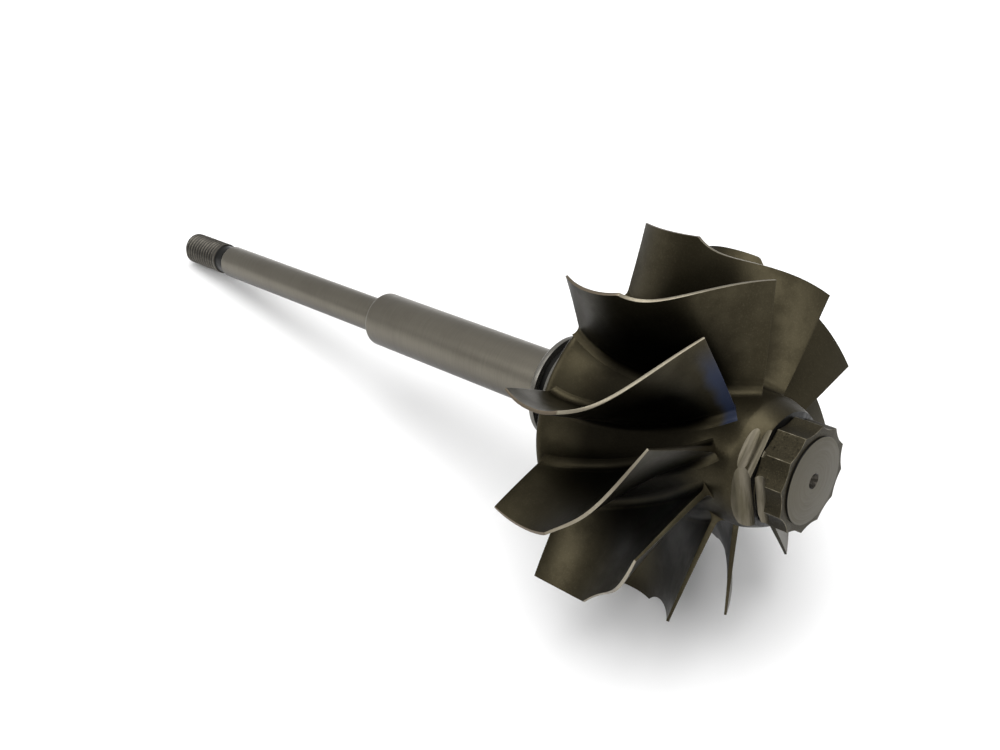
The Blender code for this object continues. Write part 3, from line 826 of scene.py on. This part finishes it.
class ROTOR_OT_hub(bpy.types.Operator):
    """Hub with its back disc and nose neck, and the balance cuts ground into it"""

    bl_idname = "rotor.hub"
    bl_label = "Cast hub"

    def execute(self, context):
        size, blades = settings("rotor_hub"), settings("rotor_blades")
        rim_rear = size.rim_x - size.rim_thickness
        outline = [
            (size.back_x, size.back_radius),
            (size.back_x + 0.9 * MM, size.back_radius + 1.2 * MM),
            (rim_rear, size.rim_radius - 0.4 * MM),
            (rim_rear + 0.4 * MM, size.rim_radius),
            (size.rim_x - 0.25 * MM, size.rim_radius),
        ]
        steps = 64
        for i in range(steps + 1):
            x = size.rim_x + (blades.exducer_x - size.rim_x) * i / steps
            outline.append((x, hub_radius(x)))
        for x in (-19.0 * MM, -17.5 * MM):
            outline.append((x, size.waist_radius))
        for i in range(13):
            share = i / 12
            x = size.shoulder_x + (size.neck_x - size.shoulder_x) * share
            drop = (size.waist_radius - size.neck_radius) * share**size.neck_power
            outline.append((x, size.waist_radius - drop))
        outline += [
            (size.neck_x, size.spigot_radius),
            (size.spigot_x, size.spigot_radius),
        ]
        hub = turned("cast_hub", outline, 192)
        hub.data.materials.append(finish_of("cast_skin"))
        hub.data.materials.append(finish_of("dark_groove"))
        # The neck's front face, in the crevice beside the nut, takes painted shade.
        front = size.neck_x - 0.01 * MM
        mark_faces(hub, 1, lambda middle, normal: middle.x > front and normal.x > 0.9)
        cuts = (
            ("lower_neck_cut", size.lower_cut, -10.6, 2.6, 14.3),
            ("upper_neck_cut", size.upper_cut, -11.2, 2.2, 17.15),
            ("upper_edge_cut", size.upper_cut, -8.5, 1.6, 15.4),
        )
        for name, turn, x, radius, floor in cuts:
            metal = finish_of("ground_balance_cut")
            cut_away(hub, grinding_point(name, turn, x * MM, radius * MM, floor * MM, metal))
        apply_modifier(
            hub,
            "BEVEL",
            "broken_edges",
            width=0.12 * MM,
            segments=2,
            limit_method="ANGLE",
            angle_limit=math.radians(40.0),
        )
        smooth(hub)
        lay_on_bench(hub, ("wheel_hub", "nose_neck"))
        return {"FINISHED"}


def blade_stations():
    """Tip and root places along the axis, close together at the inducer's front corner."""
    size = settings("rotor_blades")
    root_rear = settings("rotor_hub").rim_x + 0.3 * MM
    shares = [0.0, 0.015, 0.04, 0.1, 0.2, 0.3, 0.4, 0.5, 0.6, 0.7, 0.8, 0.9, 0.97]
    tips = [size.rear_x + (size.front_x - size.rear_x) * share for share in shares]
    shares = [0.0, 0.006, 0.013, 0.02, 0.03, 0.045, 0.06, 0.08, 0.1, 0.125, 0.15, 0.18]
    shares += [0.21 + 0.79 * i / 26 for i in range(26)] + [0.99, 1.0]
    tips += [size.front_x + (size.exducer_x - size.front_x) * share for share in shares]
    span = size.exducer_x - size.rear_x
    return [(x, root_rear + (size.exducer_x - root_rear) * (x - size.rear_x) / span) for x in tips]


def blade_rows():
    """Heights over the hub as (share of the fillet, share of the blade's height)."""
    size = settings("rotor_blades")
    rows = [(-0.04, 0.0), (0.0, 0.0)]
    rows += [(1.0 - math.cos(math.radians(step)), 0.0) for step in range(9, 91, 9)]
    rows += [(1.0 - (i / 20), i / 20) for i in range(1, 20)]
    return rows + [(0.0, 0.994), (0.0, 1.0)]


class ROTOR_OT_blades(bpy.types.Operator):
    """The blades: one grid is drawn to thickness, shaped and copied round the hub"""

    bl_idname = "rotor.blades"
    bl_label = "Cast blades"

    def execute(self, context):
        size = settings("rotor_blades")
        stations, rows = blade_stations(), blade_rows()
        deselect()
        bpy.ops.mesh.primitive_grid_add(
            x_subdivisions=len(stations) - 1, y_subdivisions=len(rows) - 1, size=1.0
        )
        model = named("blade_model")
        bpy.ops.object.mode_set(mode="EDIT")
        bpy.ops.mesh.select_all(action="SELECT")
        bpy.ops.mesh.extrude_region_move(TRANSFORM_OT_translate={"value": (0.0, 0.0, 1.0)})
        bpy.ops.object.mode_set(mode="OBJECT")
        model.data.materials.append(finish_of("cast_skin"))
        model.data.materials.append(finish_of("turned_blade_edge"))
        flat = [vert.co.copy() for vert in model.data.vertices]
        for face in model.data.polygons:
            if all(flat[i].y > 0.499 for i in face.vertices):
                face.material_index = 1
        fillet = model.data.attributes.new("root_fillet", "FLOAT", "POINT")
        for vert, spot in zip(model.data.vertices, flat):
            tip_x, root_x = stations[round((spot.x + 0.5) * (len(stations) - 1))]
            of_fillet, of_span = rows[round((spot.y + 0.5) * (len(rows) - 1))]
            span = shroud_radius(tip_x) - hub_radius(root_x)
            height = of_fillet * size.fillet + of_span * span
            vert.co = blade_point(tip_x, root_x, height, -1 if spot.z < 0.5 else 1)
            fillet.data[vert.index].value = max(0.0, 1.0 - max(0.0, height) / (1.5 * size.fillet))
        tidy_mesh(model)
        apply_modifier(
            model,
            "BEVEL",
            "broken_edges",
            width=size.edge_break,
            segments=2,
            limit_method="ANGLE",
            angle_limit=math.radians(60.0),
        )
        smooth(model, 40.0)
        pitch = math.tau / size.count
        first = -0.5 * math.pi - 0.5 * (size.count + 1) * pitch - camber(size.rear_x)
        for i in range(size.count):
            choose(model)
            bpy.ops.object.duplicate(linked=False)
            blade = named(f"cast_blade_{i + 1:02d}")
            blade.matrix_world = Matrix.Rotation(first + i * pitch, 4, "X")
            bpy.ops.object.transform_apply(location=True, rotation=True, scale=True)
            if i == 2:
                blade.data.materials[0] = finish_of("cast_skin_marked")
            lay_on_bench(blade, (f"blade_{i + 1:02d}",))
        bpy.data.objects.remove(model, do_unlink=True)
        return {"FINISHED"}


class ROTOR_OT_nut(bpy.types.Operator):
    """Twelve-point nose nut with its turned end disc and centre hole"""

    bl_idname = "rotor.nut"
    bl_label = "Nose nut"

    def execute(self, context):
        size, hub = settings("rotor_nut"), settings("rotor_hub")
        deselect()
        bpy.ops.mesh.primitive_cylinder_add(
            vertices=6 * size.points,
            radius=1.0,
            depth=size.length,
            location=(-0.5 * size.length, 0.0, 0.0),
            rotation=(0.0, math.radians(90.0), 0.0),
        )
        nut = named("cast_nose_nut")
        bpy.ops.object.transform_apply(location=True, rotation=True, scale=True)
        for metal in ("cast_nut_skin", "worn_nut_ridge", "turned_end_disc", "dark_groove"):
            nut.data.materials.append(finish_of(metal))
        step = math.tau / (6 * size.points)
        for vert in nut.data.vertices:
            spoke = round(math.atan2(vert.co.z, vert.co.y) / step)
            from_valley = (spoke % 6) / 3 - 1.0
            chord = size.point_radius * math.cos(3 * step) / math.cos(3 * step * from_valley)
            scallop = size.point_radius * math.cos(3 * step) - size.valley_radius
            radius = chord - scallop * (1.0 - from_valley**2)
            turn = size.phase + spoke * step
            vert.co = (vert.co.x, radius * math.cos(turn), radius * math.sin(turn))
        choose(nut)
        bpy.ops.object.mode_set(mode="EDIT")
        bpy.ops.mesh.select_all(action="DESELECT")
        shape = bmesh.from_edit_mesh(nut.data)
        for edge in shape.edges:
            middle = (edge.verts[0].co + edge.verts[1].co) * 0.5
            out = math.hypot(middle.y, middle.z)
            along = abs(edge.verts[0].co.x - edge.verts[1].co.x) > 1.0 * MM
            front = min(vert.co.x for vert in edge.verts) > -0.1 * MM
            edge.select_set((along and out > size.point_radius - 0.05 * MM) or front)
        bmesh.update_edit_mesh(nut.data)
        bpy.ops.mesh.bevel(offset=0.11 * MM, segments=2, affect="EDGES", material=1)
        bpy.ops.object.mode_set(mode="OBJECT")
        hole = turned(
            "hole_room",
            [
                (size.disc_height - size.hole_depth - 0.2 * MM, size.hole_radius + 0.4 * MM),
                (size.disc_height, size.hole_radius + 0.4 * MM),
            ],
            48,
        )
        hole.data.materials.append(finish_of("cast_nut_skin"))
        cut_away(nut, hole)
        face = size.disc_height
        outline = [
            (face - size.hole_depth, size.drill_radius),
            (face - size.hole_cone, size.drill_radius),
            (face - 0.12 * MM, size.hole_radius - 0.08 * MM),
            (face, size.hole_radius + 0.06 * MM),
            (face, size.disc_radius),
            (-0.3 * MM, size.disc_radius),
        ]
        disc = turned("end_disc", rounded(outline, 0.1 * MM, only=(4,)), 144, closed=False)
        for metal in ("turned_end_disc", "drilled_hole"):
            disc.data.materials.append(finish_of(metal))
        # The hole's faces take the dark hole finish, which paints the shade inside it.
        mouth = size.hole_radius + 0.02 * MM
        mark_faces(disc, 1, lambda middle, normal: math.hypot(middle.y, middle.z) < mouth)
        deselect()
        disc.select_set(True)
        nut.select_set(True)
        context.view_layer.objects.active = nut
        bpy.ops.object.join()
        # The end disc's side wall takes painted shadow: the dark line where the disc stands out from
        # the nut's face.
        wall = size.disc_radius - 0.05 * MM
        mark_faces(
            nut,
            3,
            lambda middle, normal: middle.x > 0.0
            and abs(normal.x) < 0.3
            and math.hypot(middle.y, middle.z) > wall,
        )
        cut = grinding_point(
            "lower_nut_cut", hub.lower_cut, -7.0 * MM, 2.0 * MM, 12.5 * MM,
            finish_of("ground_balance_cut"),
        )
        cut_away(nut, cut)
        cut = grinding_point(
            "upper_edge_cut", hub.upper_cut, -8.5 * MM, 1.6 * MM, 15.4 * MM,
            finish_of("ground_balance_cut"),
        )
        cut_away(nut, cut)
        smooth(nut, 22.0)
        lay_on_bench(nut, ("nose_nut",))
        return {"FINISHED"}


class ROTOR_OT_collar(bpy.types.Operator):
    """Weld boss and the collar with its piston-ring groove"""

    bl_idname = "rotor.collar"
    bl_label = "Boss and collar"

    def execute(self, context):
        size, hub = settings("rotor_shaft"), settings("rotor_hub")
        boss = turned(
            "turned_weld_boss",
            rounded(
                [
                    (size.inner_land_x + 0.02 * MM, size.collar_radius - 0.6 * MM),
                    (size.inner_land_x + 0.9 * MM, size.collar_radius - 0.6 * MM),
                    (hub.back_x - 2.2 * MM, size.boss_radius),
                    (hub.back_x - 1.0 * MM, size.boss_radius),
                    (hub.back_x + 0.2 * MM, hub.back_radius),
                ],
                0.6 * MM,
            ),
            160,
        )
        boss.data.materials.append(finish_of("turned_collar"))
        smooth(boss)
        lay_on_bench(boss, ("weld_boss",))
        outline = [
            (size.collar_rear_x, size.journal_radius),
            (size.collar_rear_x, size.collar_radius - size.collar_chamfer),
            (size.collar_rear_x + size.collar_chamfer, size.collar_radius),
            (size.groove_rear_x, size.collar_radius),
            (size.groove_rear_x, size.groove_radius),
            (size.groove_front_x, size.groove_radius),
            (size.groove_front_x, size.collar_radius),
            (size.inner_land_x, size.collar_radius),
            (size.inner_land_x, size.collar_radius - 1.5 * MM),
        ]
        collar = turned("ring_collar", rounded(outline, 0.18 * MM, only=(1, 2, 3, 4, 5, 6, 7)), 192)
        for metal in ("turned_collar", "turned_faces", "dark_groove"):
            collar.data.materials.append(finish_of(metal))
        floor = size.groove_radius + 0.25 * MM
        mark_faces(collar, 1, lambda middle, normal: abs(normal.x) > 0.8)
        # The groove's floor takes painted shade.
        mark_faces(
            collar,
            2,
            lambda middle, normal: math.hypot(middle.y, middle.z) < floor
            and size.groove_rear_x < middle.x < size.groove_front_x,
        )
        smooth(collar)
        lay_on_bench(
            collar, ("ring_land_inner", "ring_groove", "ring_land_outer")
        )
        return {"FINISHED"}


class ROTOR_OT_shaft(bpy.types.Operator):
    """Ground journal and the thinner shank behind it"""

    bl_idname = "rotor.shaft"
    bl_label = "Journal and shank"

    def execute(self, context):
        size = settings("rotor_shaft")
        arc = []
        for i in range(9):
            turn = math.radians(90.0) * i / 8
            x = size.journal_end_x + size.journal_rounding * (1.0 - math.cos(turn))
            arc.append((x, size.journal_radius - size.journal_rounding * (1.0 - math.sin(turn))))
        front = size.collar_rear_x
        journal = turned(
            "ground_journal",
            [
                (size.journal_end_x, size.shank_radius - 0.5 * MM),
                *arc,
                (front - 2.2 * MM, size.journal_radius),
                (front - 1.9 * MM, size.journal_radius - 0.3 * MM),
                (front - 0.02 * MM, size.journal_radius - 0.3 * MM),
            ],
            144,
        )
        journal.data.materials.append(finish_of("ground_journal"))
        smooth(journal)
        lay_on_bench(journal, ("bearing_journal",))
        chamfer = size.shank_chamfer
        shank = turned(
            "ground_shank",
            rounded(
                [
                    (size.shank_end_x, size.relief_radius - 0.5 * MM),
                    (size.shank_end_x, size.shank_radius - chamfer),
                    (size.shank_end_x + 1.3 * MM, size.shank_radius),
                    (size.journal_end_x + 0.05 * MM, size.shank_radius),
                ],
                0.25 * MM,
            ),
            128,
        )
        shank.data.materials.append(finish_of("ground_shank"))
        smooth(shank)
        lay_on_bench(shank, ("compressor_shank",))
        return {"FINISHED"}


class ROTOR_OT_thread(bpy.types.Operator):
    """Relief groove and the threaded end, with a true helix"""

    bl_idname = "rotor.thread"
    bl_label = "Threaded end"

    def execute(self, context):
        size = settings("rotor_shaft")
        shoulder = size.thread_end_x + size.thread_radius - size.end_radius
        rows = 140
        outline = [
            (size.thread_end_x, size.end_radius - 0.6 * MM),
            (size.thread_end_x + 0.12 * MM, size.end_radius - 0.1 * MM),
            (size.thread_end_x + 0.35 * MM, size.end_radius + 0.25 * MM),
        ]
        run = size.thread_start_x - shoulder
        outline += [(shoulder + run * i / rows, size.thread_radius) for i in range(rows + 1)]
        outline += [
            (size.thread_start_x + 0.45 * MM, size.relief_radius),
            (size.shank_end_x + 0.02 * MM, size.relief_radius),
        ]
        thread = turned("cut_thread", outline, 72)
        for vert in thread.data.vertices:
            out = math.hypot(vert.co.y, vert.co.z)
            if out < size.thread_radius - 0.01 * MM:
                continue
            turn = math.atan2(vert.co.z, vert.co.y) / math.tau
            phase = ((vert.co.x - shoulder) / size.thread_pitch + turn) % 1.0
            groove = max(0.0, 1.0 - abs(phase - 0.5) * 2.0 / 0.86)
            fade = min(1.0, (size.thread_start_x - vert.co.x) / size.thread_pitch)
            drop = size.thread_depth * min(1.0, groove * 1.12) * max(0.0, fade)
            share = (out - drop) / out
            vert.co = (vert.co.x, vert.co.y * share, vert.co.z * share)
        thread.data.materials.append(finish_of("oiled_thread"))
        smooth(thread, 45.0)
        lay_on_bench(thread, ("shaft_thread", "thread_relief"))
        return {"FINISHED"}


class ROTOR_OT_studio(bpy.types.Operator):
    """Pale floor, soft lights and the camera"""

    bl_idname = "rotor.studio"
    bl_label = "Studio"

    def execute(self, context):
        studio = settings("rotor_studio")
        deselect()
        bpy.ops.mesh.primitive_plane_add(size=studio.floor_size, location=(0.0, 0.0, -0.0001))
        floor = named("studio_floor")
        bpy.ops.object.transform_apply(location=True, rotation=False, scale=False)
        floor.data.materials.append(floor_finish())
        lights = (
            ("overhead_softbox", (-0.10, 0.05, 1.3), (0.02, 0.0, 0.05), 1.3, 16.0),
            ("nose_softbox", (1.05, -0.10, 0.60), (0.08, 0.0, 0.06), 0.7, 4.0),
            ("side_softbox", (-0.60, -1.0, 1.0), (0.0, 0.0, 0.05), 0.8, 6.0),
        )
        for name, place, aim, edge, power in lights:
            direction = Vector(aim) - Vector(place)
            bpy.ops.object.light_add(
                type="AREA",
                location=place,
                rotation=direction.to_track_quat("-Z", "Y").to_euler(),
            )
            light = bpy.context.object
            light.name = name
            light.data.size = edge
            light.data.energy = power
        world = bpy.data.worlds.new("white_studio")
        context.scene.world = world
        context.scene.view_settings.view_transform = "Standard"
        world.use_nodes = True
        world.node_tree.nodes["Background"].inputs["Color"].default_value = (1.0, 1.0, 1.0, 1.0)
        world.node_tree.nodes["Background"].inputs["Strength"].default_value = studio.ambient
        bpy.ops.object.camera_add()
        camera = bpy.context.object
        camera.name = "photo_camera"
        turn = Euler([math.radians(part) for part in (56.1457, 9.5593, 46.1567)], "XYZ")
        stand = Matrix.Translation((0.15118, -0.24439, 0.22064)) @ turn.to_matrix().to_4x4()
        camera.matrix_world = WHEEL @ stand
        camera.data.lens = studio.lens
        camera.data.sensor_width = 36.0
        camera.data.shift_x = 0.08057
        camera.data.shift_y = 0.04783
        camera.data.clip_start = 0.01
        context.scene.camera = camera
        return {"FINISHED"}


class ROTOR_PT_parts(bpy.types.Panel):
    """Lists the rotor's pieces with their sizes"""

    bl_idname = "ROTOR_PT_parts"
    bl_label = "Turbine wheel"
    bl_space_type = "VIEW_3D"
    bl_region_type = "UI"
    bl_category = "Turbine wheel"

    def draw(self, context):
        for operator in OPERATORS:
            self.layout.operator(operator.bl_idname)
        for name, group in SETTINGS.items():
            box = self.layout.box()
            box.label(text=group.__name__)
            for key in group.__annotations__:
                box.prop(getattr(context.scene, name), key)


OPERATORS = (
    ROTOR_OT_hub,
    ROTOR_OT_blades,
    ROTOR_OT_nut,
    ROTOR_OT_collar,
    ROTOR_OT_shaft,
    ROTOR_OT_thread,
    ROTOR_OT_studio,
)
CLASSES = (*SETTINGS.values(), *OPERATORS, ROTOR_PT_parts)


def register():
    for item in CLASSES:
        bpy.utils.register_class(item)
    for name, group in SETTINGS.items():
        setattr(bpy.types.Scene, name, PointerProperty(type=group))


def unregister():
    for name in SETTINGS:
        delattr(bpy.types.Scene, name)
    for item in reversed(CLASSES):
        bpy.utils.unregister_class(item)


def main():
    register()
    make_finishes()
    bpy.ops.rotor.hub()
    bpy.ops.rotor.blades()
    bpy.ops.rotor.nut()
    bpy.ops.rotor.collar()
    bpy.ops.rotor.shaft()
    bpy.ops.rotor.thread()
    bpy.ops.rotor.studio()


if __name__ == "__main__":
    main()
